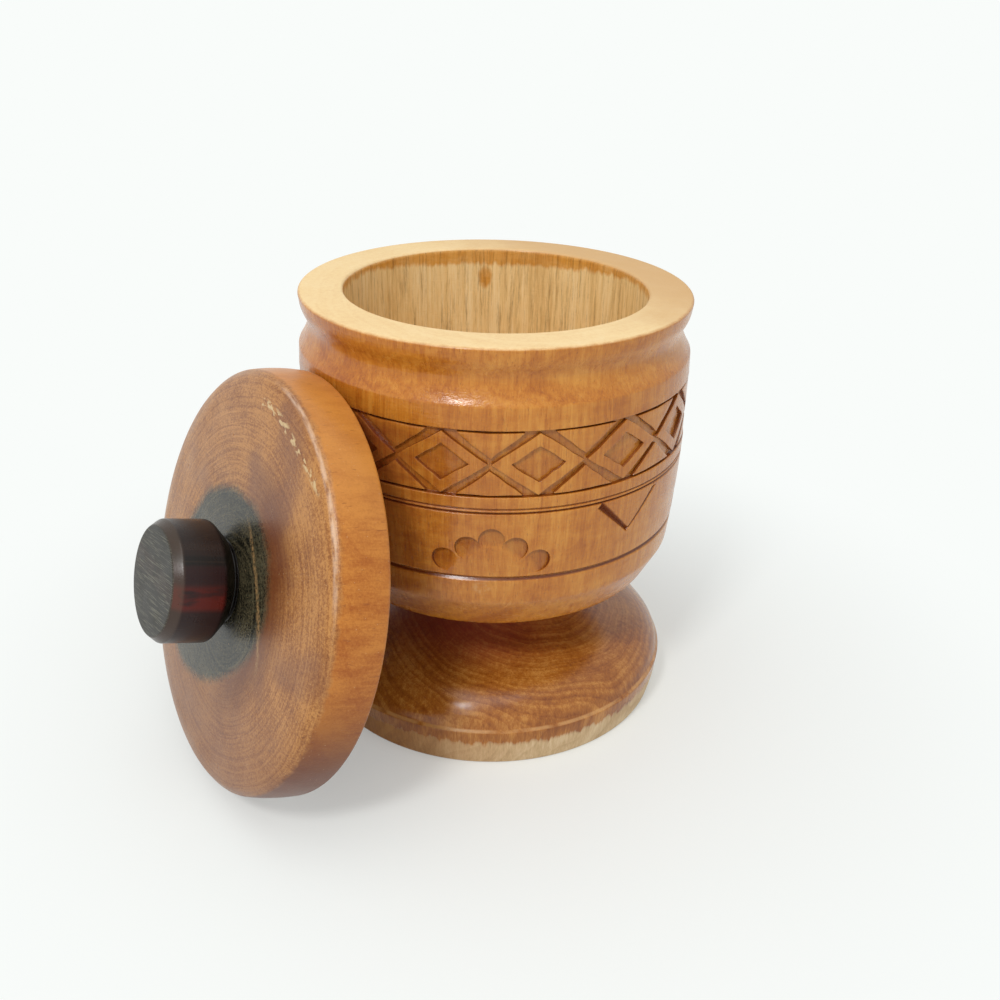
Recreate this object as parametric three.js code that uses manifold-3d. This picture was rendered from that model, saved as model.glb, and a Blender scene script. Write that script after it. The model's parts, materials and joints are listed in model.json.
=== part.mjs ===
// A turned wooden jar on a pedestal foot, with its lid leaning against its side.
// Millimetres, +Z up. The origin is the centre of the foot's flat underside.

import * as THREE from 'three';
import { mergeVertices } from 'three/addons/utils/BufferGeometryUtils.js';
import Module from 'manifold-3d';

const wasm = await Module();
wasm.setup();

// Jar radii: the rim is the driving one, and the outer wall stands in or out from it
const rimRadius = 55;
const neckInset = 2.3;
const shoulderStandOut = 0.4;
const bellyStandOut = 0.9;
const chamferTopInset = 1.3;
const bowlEdgeInset = 6.5;
const wallThickness = 12.5;

// Jar heights, stacked from the floor up
const footSideHeight = 11.9;
const footRollHeight = 10.3;
const footFlareHeight = 12.8;
const stemLength = 5.5;
const bowlEdgeRise = 4.2;
const chamferHeight = 9.1;
const lowerRingHeight = 8;
const carvedFieldHeight = 20.3;
const middleRingHeight = 3.9;
const bandHeight = 18.1;
const upperRingHeight = 4.2;
const shoulderRise = 7.2;
const lipHeight = 9.5;

// Inside of the bowl
const floorThickness = 6;
const boreCornerRadius = 9;
const rimEdge = 0.8;

// Turned grooves, and the sunk band with the relief left standing in it
const grooveWidth = 1.4;
const grooveDepth = 0.8;
const bandDepth = 1.3;
const reliefCount = 14;
const reliefMargin = 0.7;
const reliefStroke = 3.1;
const reliefGap = 1.6;
const reliefDrop = 0.15;

// Gouged arches and chevrons below the band
const carvingCount = 4;
const carvingDepth = 0.9;
const archWidth = 29;
const archHeight = 14.1;
const archScallops = 5;
const archThickness = 3.4;
const chevronWidth = 21.5;
const chevronHeight = 9.4;
const chevronStroke = 1.5;

// Pedestal foot
const footRadius = 54.9;
const footSideTaper = 1.7;
const footBottomEdge = 0.8;
const footRoll = 9.9;
const stemRadius = 21.5;
const stemTopRadius = 22.7;
const tenonRadius = 11;
const tenonLength = 7;

// Lid
const lidOverhang = 2;
const lidEdgeThickness = 14.8;
const lidSideTaper = 1.1;
const lidRounding = 3.2;
const lidDome = 2.4;
const lidBackEdge = 0.7;
const spigotLength = 2.4;
const spigotClearance = 0.7;

// Knob
const knobRadius = 16;
const knobLength = 16.7;
const knobChamfer = 1.7;
const knobBackChamfer = 3.5;
const knobNeckRadius = 10.5;
const knobNeckFlare = 0.8;
const knobNeckLength = 1.9;
const knobTenonRadius = 7.5;
const knobTenonLength = 8;

// Where the lid leans
const lidAzimuth = THREE.MathUtils.degToRad(213.6);
const lidLean = THREE.MathUtils.degToRad(16.35);
const lidSideways = 7;
const lidClearance = 0.35;

// Fits
const glueGap = 0.3;
const holeEndGap = 0.5;

const bowlSegments = 56;
const footSegments = 56;
const lidSegments = 60;
const knobSegments = 36;
const cornerSteps = 4;
const halfPi = Math.PI / 2;

// Worked-out radii and heights
const boreRadius = rimRadius - wallThickness;
const neckRadius = rimRadius - neckInset;
const shoulderRadius = rimRadius + shoulderStandOut;
const bellyRadius = rimRadius + bellyStandOut;
const chamferTopRadius = rimRadius - chamferTopInset;
const bowlEdgeRadius = rimRadius - bowlEdgeInset;
const rollTopHeight = footSideHeight + footRollHeight;
const flareTopHeight = rollTopHeight + footFlareHeight;
const bowlBaseHeight = flareTopHeight + stemLength;
const bowlEdgeHeight = bowlBaseHeight + bowlEdgeRise;
const chamferTopHeight = bowlEdgeHeight + chamferHeight;
const lowerGrooveHeight = chamferTopHeight + lowerRingHeight;
const middleGrooveHeight = lowerGrooveHeight + carvedFieldHeight;
const bandBottomHeight = middleGrooveHeight + middleRingHeight;
const bandTopHeight = bandBottomHeight + bandHeight;
const shoulderHeight = bandTopHeight + upperRingHeight;
const neckHeight = shoulderHeight + shoulderRise;
const jarHeight = neckHeight + lipHeight;
const tenonHoleTop = bowlBaseHeight + tenonLength + holeEndGap;
const boreFloorHeight = tenonHoleTop + floorThickness;

const jarWood = new THREE.MeshStandardMaterial({ color: 0xb26c2c, roughness: 0.38, metalness: 0 });
const footWood = new THREE.MeshStandardMaterial({ color: 0x9a5a26, roughness: 0.42, metalness: 0 });
const lidWood = new THREE.MeshStandardMaterial({ color: 0xa0643a, roughness: 0.5, metalness: 0 });
const darkWood = new THREE.MeshStandardMaterial({ color: 0x2a1712, roughness: 0.42, metalness: 0 });

const at = (radius, height) => new THREE.Vector2(radius, height);

// Profile points that round off the corner between two others
function roundedCorner(from, corner, to) {
  return new THREE.QuadraticBezierCurve(from, corner, to).getPoints(cornerSteps);
}

// A solid of revolution about +Z from a profile of (radius, height) points
function turned(profile, segments) {
  const geometry = new THREE.LatheGeometry(profile, segments);
  geometry.rotateX(halfPi);
  return geometry;
}

function toSolid(geometry) {
  geometry.deleteAttribute('normal');
  geometry.deleteAttribute('uv');
  const merged = mergeVertices(geometry, 1e-5);
  const vertProperties = new Float32Array(merged.attributes.position.array);
  const triVerts = new Uint32Array(merged.index.array);
  return new wasm.Manifold(new wasm.Mesh({ numProp: 3, vertProperties, triVerts }));
}

function toGeometry(solid) {
  const mesh = solid.getMesh();
  const geometry = new THREE.BufferGeometry();
  geometry.setAttribute('position', new THREE.BufferAttribute(mesh.vertProperties, mesh.numProp));
  geometry.setIndex(new THREE.BufferAttribute(mesh.triVerts, 1));
  return geometry;
}

function joined(solids) {
  return solids.reduce((all, solid) => all.add(solid));
}

function named(name, geometry, material) {
  const mesh = new THREE.Mesh(geometry, material);
  mesh.name = name;
  return mesh;
}

// The plain outside of the bowl from the chamfer to the shoulder, before it is carved
const wallPoints = new THREE.SplineCurve([
  at(chamferTopRadius, chamferTopHeight),
  at((chamferTopRadius + bellyRadius) / 2, lowerGrooveHeight),
  at(bellyRadius - 0.4, middleGrooveHeight),
  at(bellyRadius, bandBottomHeight + bandHeight / 3),
  at((shoulderRadius + bellyRadius) / 2 - 0.3, bandTopHeight),
  at(shoulderRadius, shoulderHeight),
]).getPoints(60);

function onWall(height, depth = 0) {
  const above = Math.max(1, wallPoints.findIndex((point) => point.y >= height));
  const low = wallPoints[above - 1];
  const high = wallPoints[above];
  const share = (height - low.y) / (high.y - low.y);
  return at(low.x + share * (high.x - low.x) - depth, height);
}

// Three points of a V groove cut round the wall
function groove(height) {
  const half = grooveWidth / 2;
  return [onWall(height - half), onWall(height, grooveDepth), onWall(height + half)];
}

const bandLedge = 0.2;
const lipSlope = lipHeight / 3;
const bowlProfile = [
  at(0, tenonHoleTop),
  at(tenonRadius + glueGap, tenonHoleTop),
  at(tenonRadius + glueGap, bowlBaseHeight),
  at(stemTopRadius, bowlBaseHeight),
  at((stemTopRadius + 2 * bowlEdgeRadius) / 3, bowlBaseHeight + bowlEdgeRise / 5),
  ...roundedCorner(
    at(bowlEdgeRadius - bowlEdgeRise / 2, bowlEdgeHeight - bowlEdgeRise / 2),
    at(bowlEdgeRadius, bowlEdgeHeight - bowlEdgeRise / 4),
    at(bowlEdgeRadius + bowlEdgeRise / 12, bowlEdgeHeight + bowlEdgeRise / 8),
  ),
  at((bowlEdgeRadius + chamferTopRadius) / 2 + chamferHeight / 16, bowlEdgeHeight + chamferHeight / 2),
  at(chamferTopRadius, chamferTopHeight),
  ...groove(lowerGrooveHeight),
  onWall((lowerGrooveHeight + middleGrooveHeight) / 2),
  ...groove(middleGrooveHeight),
  onWall(bandBottomHeight),
  onWall(bandBottomHeight + bandLedge, bandDepth),
  onWall((bandBottomHeight + bandTopHeight) / 2, bandDepth),
  onWall(bandTopHeight - bandLedge, bandDepth),
  onWall(bandTopHeight),
  ...roundedCorner(
    at(shoulderRadius, shoulderHeight),
    at(shoulderRadius, (shoulderHeight + neckHeight) / 2),
    at(neckRadius + neckInset / 3, neckHeight - shoulderRise / 3),
  ),
  at(neckRadius, neckHeight),
  at(neckRadius + neckInset / 8, neckHeight + lipSlope),
  at(rimRadius - neckInset / 3, jarHeight - lipSlope),
  at(rimRadius, jarHeight - rimEdge),
  at(rimRadius - rimEdge, jarHeight),
  at(boreRadius + rimEdge, jarHeight),
  at(boreRadius, jarHeight - rimEdge),
  ...roundedCorner(
    at(boreRadius, boreFloorHeight + boreCornerRadius),
    at(boreRadius, boreFloorHeight),
    at(boreRadius - boreCornerRadius, boreFloorHeight),
  ),
  at(0, boreFloorHeight),
];

// The layer of wood between two depths below the wall's surface, over a span of heights
function wallLayer(lowHeight, highHeight, innerDepth, outerDepth) {
  const rings = 2;
  const heights = [];
  for (let i = 0; i <= rings; i += 1) heights.push(lowHeight + (i * (highHeight - lowHeight)) / rings);
  const outer = heights.map((height) => onWall(height, outerDepth));
  const inner = heights.map((height) => onWall(height, innerDepth)).reverse();
  return toSolid(turned([...outer, ...inner, outer[0]], bowlSegments));
}

// A prism of a flat shape that passes through the wall at an angle round the jar.
// The shape's x runs round the jar and its y is the height.
function throughWall(shape, angle) {
  const depth = wallThickness;
  const geometry = new THREE.ExtrudeGeometry(shape, { depth, bevelEnabled: false });
  geometry.rotateX(halfPi);
  geometry.rotateZ(halfPi);
  geometry.translate(bellyRadius - 0.7 * depth, 0, 0);
  geometry.rotateZ(angle);
  return toSolid(geometry);
}

function polygon(points) {
  return new THREE.Shape(points.map(([x, y]) => at(x, y)));
}

// A hollow lozenge as wide as its share of the band, and the half lozenges between it and the next
function reliefShapes() {
  const middle = (bandBottomHeight + bandTopHeight) / 2;
  const halfWidth = (Math.PI * bellyRadius) / reliefCount - reliefMargin / 2;
  const halfHeight = bandHeight / 2 - reliefMargin;
  const slant = Math.hypot(halfWidth, halfHeight);
  const inset = (amount) => [(amount * slant) / halfHeight, (amount * slant) / halfWidth];
  const [strokeWidth, strokeHeight] = inset(reliefStroke);
  const [gapWidth, gapHeight] = inset(reliefGap);
  const frame = polygon([
    [-halfWidth, middle], [0, middle - halfHeight], [halfWidth, middle], [0, middle + halfHeight],
  ]);
  frame.holes.push(new THREE.Path([
    at(strokeWidth - halfWidth, middle), at(0, middle + halfHeight - strokeHeight),
    at(halfWidth - strokeWidth, middle), at(0, middle - halfHeight + strokeHeight),
  ]));
  const corner = (sign) => polygon([
    [gapWidth - halfWidth, middle + sign * halfHeight],
    [0, middle + sign * gapHeight],
    [halfWidth - gapWidth, middle + sign * halfHeight],
  ]);
  return { frame, corners: [corner(1), corner(-1)] };
}

// Gouge cuts side by side along an arch that stands on the lower groove
function archShape() {
  const base = lowerGrooveHeight + grooveWidth / 2;
  const arcPoint = (angle, reach) => [
    -Math.cos(angle) * (archWidth / 2 - archThickness + reach),
    base + Math.sin(angle) * (archHeight - archThickness + reach),
  ];
  const valley = 0.45 * archThickness;
  const stepsEach = 4;
  const steps = archScallops * stepsEach;
  const points = [];
  for (let i = 0; i <= steps; i += 1) {
    const swell = Math.sqrt(Math.sin((Math.PI * (i % stepsEach)) / stepsEach));
    points.push(arcPoint((Math.PI * i) / steps, valley + (archThickness - valley) * swell));
  }
  for (let i = steps; i >= 0; i -= 2) points.push(arcPoint((Math.PI * i) / steps, 0));
  return polygon(points);
}

// A V of two straight cuts that hangs from the middle groove
function chevronShape() {
  const top = middleGrooveHeight - grooveWidth / 2;
  const half = chevronWidth / 2;
  const slope = chevronHeight / half;
  const drop = chevronStroke * Math.hypot(1, slope);
  return polygon([
    [-half, top], [0, top - chevronHeight], [half, top],
    [half - drop / slope, top], [0, top - chevronHeight + drop], [drop / slope - half, top],
  ]);
}

function carvedBowl() {
  const turnedBowl = toSolid(turned(bowlProfile, bowlSegments));

  const { frame, corners } = reliefShapes();
  const reliefTurn = (2 * Math.PI) / reliefCount;
  const standing = [];
  for (let i = 0; i < reliefCount; i += 1) {
    standing.push(throughWall(frame, i * reliefTurn));
    corners.forEach((corner) => standing.push(throughWall(corner, (i + 0.5) * reliefTurn)));
  }
  const reliefLayer = wallLayer(
    bandBottomHeight + reliefMargin, bandTopHeight - reliefMargin, 1.3 * bandDepth, reliefDrop,
  );

  const carvingTurn = (2 * Math.PI) / carvingCount;
  const cuts = [];
  for (let i = 0; i < carvingCount; i += 1) {
    cuts.push(throughWall(archShape(), i * carvingTurn - halfPi));
    cuts.push(throughWall(chevronShape(), (i + 0.5) * carvingTurn - halfPi));
  }
  const carvingLayer = wallLayer(lowerGrooveHeight, middleGrooveHeight, carvingDepth, -carvingDepth);

  return turnedBowl
    .add(joined(standing).intersect(reliefLayer))
    .subtract(joined(cuts).intersect(carvingLayer));
}

const bowl = named('bowl', toGeometry(carvedBowl()), jarWood);

// Pedestal foot: flat underside, side, rolled edge, flare, stem and the tenon glued into the bowl
const stemTop = bowlBaseHeight - glueGap;
const footArris = at(footRadius, footSideHeight);
const rollTop = at(footRadius - footRoll, rollTopHeight);
const footProfile = [
  at(0, 0),
  at(footRadius - footSideTaper - footBottomEdge, 0),
  at(footRadius - footSideTaper, footBottomEdge),
  ...roundedCorner(
    footArris,
    at(footRadius - 0.23 * footRoll, footSideHeight + 0.56 * footRollHeight),
    rollTop,
  ),
  ...roundedCorner(
    rollTop,
    at(stemRadius + 0.19 * (rollTop.x - stemRadius), rollTopHeight + 0.41 * footFlareHeight),
    at(stemRadius, flareTopHeight),
  ).slice(1),
  at(stemTopRadius, stemTop - stemLength / 6),
  at(stemTopRadius, stemTop),
  at(tenonRadius, stemTop),
  at(tenonRadius, stemTop + tenonLength),
  at(0, stemTop + tenonLength),
];
const foot = named('pedestal_foot', turned(footProfile, footSegments), footWood);

// Lid, in its own frame: the seat face at 0, the spigot below it and the face above it
const lidRadius = rimRadius + lidOverhang;
const lidFaceRadius = lidRadius - lidSideTaper;
const lidFaceHeight = lidEdgeThickness + lidDome;
const spigotRadius = boreRadius - spigotClearance;
const knobHoleRadius = knobTenonRadius + glueGap;
const onDome = (radius) => at(radius, lidEdgeThickness + lidDome * (1 - (radius / lidFaceRadius) ** 2));
const lidProfile = [
  at(0, -spigotLength),
  at(spigotRadius - lidBackEdge, -spigotLength),
  at(spigotRadius, lidBackEdge - spigotLength),
  at(spigotRadius, 0),
  at(lidRadius - lidBackEdge, 0),
  at(lidRadius, lidBackEdge),
  at(lidRadius, lidEdgeThickness / 3),
  ...roundedCorner(
    at(lidFaceRadius, lidEdgeThickness - lidRounding),
    onDome(lidFaceRadius),
    onDome(lidFaceRadius - 1.5 * lidRounding),
  ),
  onDome(0.72 * lidFaceRadius),
  onDome(0.45 * lidFaceRadius),
  at(knobHoleRadius, lidFaceHeight),
  at(knobHoleRadius, lidFaceHeight - knobTenonLength),
  at(0, lidFaceHeight - knobTenonLength),
];
const lidPlate = named('lid_plate', turned(lidProfile, lidSegments), lidWood);

// Knob: a tenon glued into the lid, a short neck and a thick disc with chamfered edges
const neckFoot = lidFaceHeight + glueGap;
const knobBack = lidFaceHeight + knobNeckLength;
const knobFront = knobBack + knobLength;
const knobProfile = [
  at(0, lidFaceHeight - knobTenonLength + holeEndGap),
  at(knobTenonRadius, lidFaceHeight - knobTenonLength + holeEndGap),
  at(knobTenonRadius, neckFoot),
  at(knobNeckRadius + knobNeckFlare, neckFoot),
  at(knobNeckRadius, (neckFoot + knobBack) / 2),
  at(knobNeckRadius + knobNeckFlare, knobBack),
  at(knobRadius - knobBackChamfer, knobBack),
  at(knobRadius, knobBack + knobBackChamfer),
  at(knobRadius, knobFront - knobChamfer),
  at(knobRadius - knobChamfer, knobFront),
  at(0, knobFront),
];
const knob = named('knob', turned(knobProfile, knobSegments), darkWood);

// The lid's centre is as high as its lowest edge needs to touch the floor
const lidCentreHeight = Math.max(
  ...lidProfile.map((point) => point.x * Math.cos(lidLean) - point.y * Math.sin(lidLean)),
);

// How far out the lid's centre has to be for a face of it to clear the jar. The lid touches the jar
// beside its own centre line, so a round face of this radius reaches up to a chord and not to its top.
function reachPast(faceHeight, radius) {
  const rises = [...bowlProfile, ...footProfile].map((point) => at(point.x, point.y - lidCentreHeight));
  const chord = Math.sqrt(radius ** 2 - lidSideways ** 2);
  const facing = rises.filter((point) => Math.abs(point.y) < chord * Math.cos(lidLean) + 1);
  const reaches = facing.map((point) => point.x + point.y * Math.tan(lidLean));
  return Math.max(...reaches) - faceHeight / Math.cos(lidLean);
}

const lidCentreReach = Math.max(reachPast(0, lidRadius), reachPast(-spigotLength, spigotRadius))
  + lidClearance / Math.cos(lidLean);

const leaning = new THREE.Group();
leaning.add(lidPlate, knob);
leaning.rotation.y = halfPi - lidLean;
leaning.position.set(lidCentreReach, lidSideways, lidCentreHeight);

const lid = new THREE.Group();
lid.add(leaning);
lid.rotation.z = lidAzimuth;

const jar = new THREE.Group();
jar.add(bowl, foot, lid);

export default jar;
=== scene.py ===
# %% [markdown]
# # A turned and carved wooden jar, with its lid leaning against it
# The jar is turned on a lathe, carved by hand and varnished. Its lid has come off and leans on its side.
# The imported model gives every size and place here, in metres, with Z up and the jar's axis at the origin.
# Each piece is modelled as a maker would: turn the blank, carve it, and give it its finish.

import json
import math

import bpy
from mathutils import Matrix, Vector


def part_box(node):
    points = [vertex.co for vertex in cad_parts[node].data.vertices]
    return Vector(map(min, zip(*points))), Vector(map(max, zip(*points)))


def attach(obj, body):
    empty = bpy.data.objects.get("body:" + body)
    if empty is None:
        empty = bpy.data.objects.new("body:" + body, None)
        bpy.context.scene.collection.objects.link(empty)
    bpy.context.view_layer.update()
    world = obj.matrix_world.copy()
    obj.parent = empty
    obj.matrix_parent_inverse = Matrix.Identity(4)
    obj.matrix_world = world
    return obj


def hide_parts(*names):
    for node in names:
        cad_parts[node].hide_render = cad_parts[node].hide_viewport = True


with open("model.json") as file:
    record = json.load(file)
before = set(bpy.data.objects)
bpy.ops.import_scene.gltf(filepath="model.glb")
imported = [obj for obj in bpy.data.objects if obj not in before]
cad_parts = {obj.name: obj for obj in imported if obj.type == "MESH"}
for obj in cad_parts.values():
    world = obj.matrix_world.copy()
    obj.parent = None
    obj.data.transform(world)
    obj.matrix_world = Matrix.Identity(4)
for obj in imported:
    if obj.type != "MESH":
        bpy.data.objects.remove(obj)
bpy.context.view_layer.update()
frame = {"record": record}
mm = 0.001

# %% [markdown]
# Operators act on all that is selected, and loading leaves the frame's own pieces selected.
# So a small helper clears the selection before each new piece, and a second one makes one piece active,
# which is what modifiers and edit mode need.

# %% Selection helpers
def deselect_all():
    if bpy.context.mode != "OBJECT":
        bpy.ops.object.mode_set(mode="OBJECT")
    bpy.ops.object.select_all(action="DESELECT")


def activate(piece):
    deselect_all()
    piece.select_set(True)
    bpy.context.view_layer.objects.active = piece


def name_piece(name):
    piece = bpy.context.active_object
    piece.name = name
    piece.data.name = name
    return piece


def apply_modifiers(piece):
    activate(piece)
    for modifier in list(piece.modifiers):
        bpy.ops.object.modifier_apply(modifier=modifier.name)


def count(piece):
    piece.data.calc_loop_triangles()
    print(piece.name, "has", len(piece.data.loop_triangles), "triangles")


deselect_all()

# %% [markdown]
# ## The shape of the jar
# A turned piece is known by its outline: how far the surface is from the axis at each height.
# The driving sizes come from the frame, and the turner's cuts are set in or out from them.
# Heights are stacked from the table up, so that a change low down lifts all that stands on it.
# Between its cuts the wall is a shallow barrel: a parabola that is widest at the belly's height.

# %% Sizes of the jar
belly_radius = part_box("bowl")[1].x
jar_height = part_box("bowl")[1].z
bowl_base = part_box("bowl")[0].z
foot_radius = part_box("pedestal_foot")[1].x
rim_radius = belly_radius - 0.74 * mm
bore_radius = rim_radius - 12.5 * mm
neck_radius = rim_radius - 2.3 * mm
bowl_edge_radius = rim_radius - 6.6 * mm
stem_radius = 21.5 * mm

bowl_edge = bowl_base + 4.2 * mm
chamfer_top = bowl_edge + 9.1 * mm
lower_groove = chamfer_top + 8 * mm
middle_groove = lower_groove + 20.3 * mm
band_bottom = middle_groove + 3.9 * mm
band_top = band_bottom + 18.1 * mm
shoulder = band_top + 6 * mm
neck = shoulder + 5.9 * mm
bore_floor = bowl_base + 13.5 * mm

belly_height = band_bottom + 6.8 * mm
belly_curve = 1.4
band_depth = 1.3 * mm
tenon_radius = 11 * mm
tenon_height = 6.7 * mm
mortise_depth = 7.5 * mm
glue_gap = 0.3 * mm


def wall_radius(height):
    return belly_radius - belly_curve * (height - belly_height) ** 2


print("bowl from", round(bowl_base / mm, 1), "to", round(jar_height / mm, 1), "mm high")

# %% [markdown]
# An outline is a list of corners, each with its distance from the axis, its height and how far it is
# rounded. Hand turning leaves no sharp corner, so each one is cut off by a short curve.
# The curve is a quadratic one that starts and ends on the two straight lines beside the corner.

# %% Outlines with rounded corners
def rounded_outline(corners, steps=5):
    points = []
    for i, (radius, height, rounding) in enumerate(corners):
        corner = Vector((radius, 0, height))
        if rounding == 0:
            points.append(corner)
            continue
        before = Vector((corners[i - 1][0], 0, corners[i - 1][1])) - corner
        after = Vector((corners[i + 1][0], 0, corners[i + 1][1])) - corner
        start = corner + before.normalized() * min(rounding, before.length / 2)
        end = corner + after.normalized() * min(rounding, after.length / 2)
        for k in range(steps + 1):
            t = k / steps
            points.append(start * (1 - t) ** 2 + corner * (2 * t * (1 - t)) + end * t ** 2)
    kept = [points[0]]
    for point in points[1:]:
        if (point - kept[-1]).length > 1e-6:
            kept.append(point)
    return kept


print("a rounded corner has", len(rounded_outline([(0, 0, 0), (1, 0, 0.2), (1, 1, 0)])) - 2, "points")

# %% [markdown]
# The lathe itself is the Spin operator. A plane is merged to a single point, the point is extruded along
# the outline, and the line is spun once round the axis. Spin can turn a shape inside out, and it leaves
# doubled points on the axis, so the doubles are merged and then the normals are recalculated.
# A Screw modifier would do the same, but Spin leaves a plain mesh that can be worked on at once.

# %% The lathe
def face_outwards():
    bpy.ops.mesh.select_all(action="SELECT")
    bpy.ops.mesh.normals_make_consistent(inside=False)
    bpy.ops.object.mode_set(mode="OBJECT")


def turn(name, outline, steps):
    deselect_all()
    bpy.ops.mesh.primitive_plane_add(size=mm)
    piece = name_piece(name)
    bpy.ops.object.mode_set(mode="EDIT")
    bpy.ops.mesh.merge(type="CENTER")
    bpy.ops.transform.translate(value=outline[0])
    for start, end in zip(outline, outline[1:]):
        bpy.ops.mesh.extrude_vertices_move(TRANSFORM_OT_translate={"value": end - start})
    bpy.ops.mesh.select_all(action="SELECT")
    bpy.ops.mesh.spin(steps=steps, angle=math.tau, center=(0, 0, 0), axis=(0, 0, 1))
    bpy.ops.mesh.select_all(action="SELECT")
    bpy.ops.mesh.remove_doubles(threshold=2e-6)
    face_outwards()
    count(piece)
    return piece


print("the lathe is ready")

# %% [markdown]
# ## The bowl
# The bowl's outline runs from the tenon's hole under it, up the outside, over the flat rim and down into
# the bore. On the way it takes the chamfer, three turned grooves, the sunk band and the shoulder.
# A groove is three corners: both lips a little rounded, and a bottom that the tool's point left.

# %% Outline of the bowl
def groove(height, width, depth):
    return [
        (wall_radius(height - width / 2), height - width / 2, 0.15 * mm),
        (wall_radius(height) - depth, height, 0.2 * mm),
        (wall_radius(height + width / 2), height + width / 2, 0.15 * mm),
    ]


def wall_steps(low, high, number, depth=0.0):
    heights = [low + (high - low) * i / (number - 1) for i in range(number)]
    return [(wall_radius(height) - depth, height, 0) for height in heights]


twin_spacing = 1.1 * mm
chamfer_middle = (bowl_edge_radius + wall_radius(chamfer_top)) / 2
bowl_corners = [
    (0, bowl_base + mortise_depth, 0),
    (tenon_radius + glue_gap, bowl_base + mortise_depth, 0),
    (tenon_radius + glue_gap, bowl_base, 0),
    (stem_radius + 1.5 * mm, bowl_base, 0),
    (40 * mm, bowl_base + 0.8 * mm, 5 * mm),
    (bowl_edge_radius, bowl_edge - 0.6 * mm, 1.6 * mm),
    (chamfer_middle, (bowl_edge + chamfer_top) / 2 - 0.2 * mm, 3 * mm),
    (wall_radius(chamfer_top) - 0.1 * mm, chamfer_top, 0.5 * mm),
    *wall_steps(chamfer_top + 1.2 * mm, lower_groove - 1.5 * mm, 4),
    *groove(lower_groove, 1.7 * mm, 0.9 * mm),
    *wall_steps(lower_groove + 1.5 * mm, middle_groove - 2 * mm, 10),
    *groove(middle_groove - twin_spacing / 2, 0.9 * mm, 0.75 * mm),
    *groove(middle_groove + twin_spacing / 2, 0.8 * mm, 0.55 * mm),
    *wall_steps(middle_groove + 1.8 * mm, band_bottom - mm, 2),
    (wall_radius(band_bottom), band_bottom, 0.25 * mm),
    (wall_radius(band_bottom) - band_depth, band_bottom + 0.25 * mm, 0.15 * mm),
    *wall_steps(band_bottom + 1.2 * mm, band_top - 1.2 * mm, 13, band_depth),
    (wall_radius(band_top) - band_depth, band_top - 0.25 * mm, 0.15 * mm),
    (wall_radius(band_top), band_top, 0.25 * mm),
    (wall_radius(shoulder), shoulder, 0.35 * mm),
    (rim_radius - 1 * mm, shoulder + 2.1 * mm, 1.4 * mm),
    (neck_radius + 0.2 * mm, neck - 1.2 * mm, 1.6 * mm),
    (neck_radius, neck + 0.6 * mm, 0.8 * mm),
    (neck_radius + 0.5 * mm, neck + 2.4 * mm, 0.6 * mm),
    (rim_radius - 0.5 * mm, jar_height - 4 * mm, 1.4 * mm),
    (rim_radius, jar_height - 0.5 * mm, 0.4 * mm),
    (rim_radius - 0.6 * mm, jar_height, 0.4 * mm),
    (rim_radius - 6 * mm, jar_height - 0.05 * mm, 0),
    (bore_radius + 0.6 * mm, jar_height, 0.4 * mm),
    (bore_radius, jar_height - 0.8 * mm, 0.5 * mm),
    (bore_radius, jar_height - 20 * mm, 0),
    (bore_radius, bore_floor + 20 * mm, 0),
    (bore_radius, bore_floor, 9 * mm),
    (bore_radius / 2, bore_floor + 0.1 * mm, 0),
    (0, bore_floor, 0),
]
bowl = turn("carved_bowl", rounded_outline(bowl_corners), 256)

# %% [markdown]
# The ground of the band was cut down by hand with a flat chisel, so it isn't a true cylinder.
# Its points are selected by their place, and Randomize moves each a little along its own normal.

# %% Chisel marks in the band's ground
def select_points(piece, wanted):
    activate(piece)
    bpy.ops.object.mode_set(mode="EDIT")
    bpy.ops.mesh.select_mode(type="VERT")
    bpy.ops.mesh.select_all(action="DESELECT")
    bpy.ops.object.mode_set(mode="OBJECT")
    for vertex in piece.data.vertices:
        vertex.select = wanted(vertex.co)
    bpy.ops.object.mode_set(mode="EDIT")


def on_band_ground(point):
    outside = math.hypot(point.x, point.y) > bore_radius + 5 * mm
    return outside and band_bottom + mm < point.z < band_top - mm


hand_shake = 0.16 * mm
select_points(bowl, on_band_ground)
bpy.ops.transform.vertex_random(offset=hand_shake, uniform=0.0, normal=1.0, seed=4)
bpy.ops.object.mode_set(mode="OBJECT")
print("chisel marks on", sum(v.select for v in bowl.data.vertices), "points")

# %% [markdown]
# ## Cutting and joining
# Carving is done with booleans: a cutter has the shape of the chip that comes away.
# The manifold solver is quick and exact on closed shapes, and each cutter is deleted after its cut.

# %% Boolean helper
def combine(piece, other, operation):
    activate(piece)
    modifier = piece.modifiers.new(operation.lower(), "BOOLEAN")
    modifier.operation = operation
    modifier.solver = "MANIFOLD"
    modifier.object = other
    bpy.ops.object.modifier_apply(modifier=modifier.name)
    bpy.data.objects.remove(other)


def join(pieces, name):
    deselect_all()
    for piece in pieces:
        piece.select_set(True)
    bpy.context.view_layer.objects.active = pieces[0]
    bpy.ops.object.join()
    return name_piece(name)


print("cutting is done with the manifold solver")

# %% [markdown]
# ## The relief in the band
# Hollow lozenges stand in the sunk band, with half lozenges in the gaps between them.
# Work on a flat strip is easier than work on a drum, so the strip is carved flat and then bent round.
# A Simple Deform modifier bends it, and the angle that is asked for is the strip's length over the radius.

# %% Bending a flat strip round the jar
def bend_round(piece, radius):
    activate(piece)
    across = [vertex.co.x for vertex in piece.data.vertices]
    modifier = piece.modifiers.new("bend", "SIMPLE_DEFORM")
    modifier.deform_method = "BEND"
    modifier.deform_axis = "Z"
    modifier.angle = (max(across) - min(across)) / radius
    bpy.ops.object.modifier_apply(modifier=modifier.name)
    piece.location.y = -radius
    bpy.ops.object.transform_apply(location=True, rotation=False, scale=False)
    return piece


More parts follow.
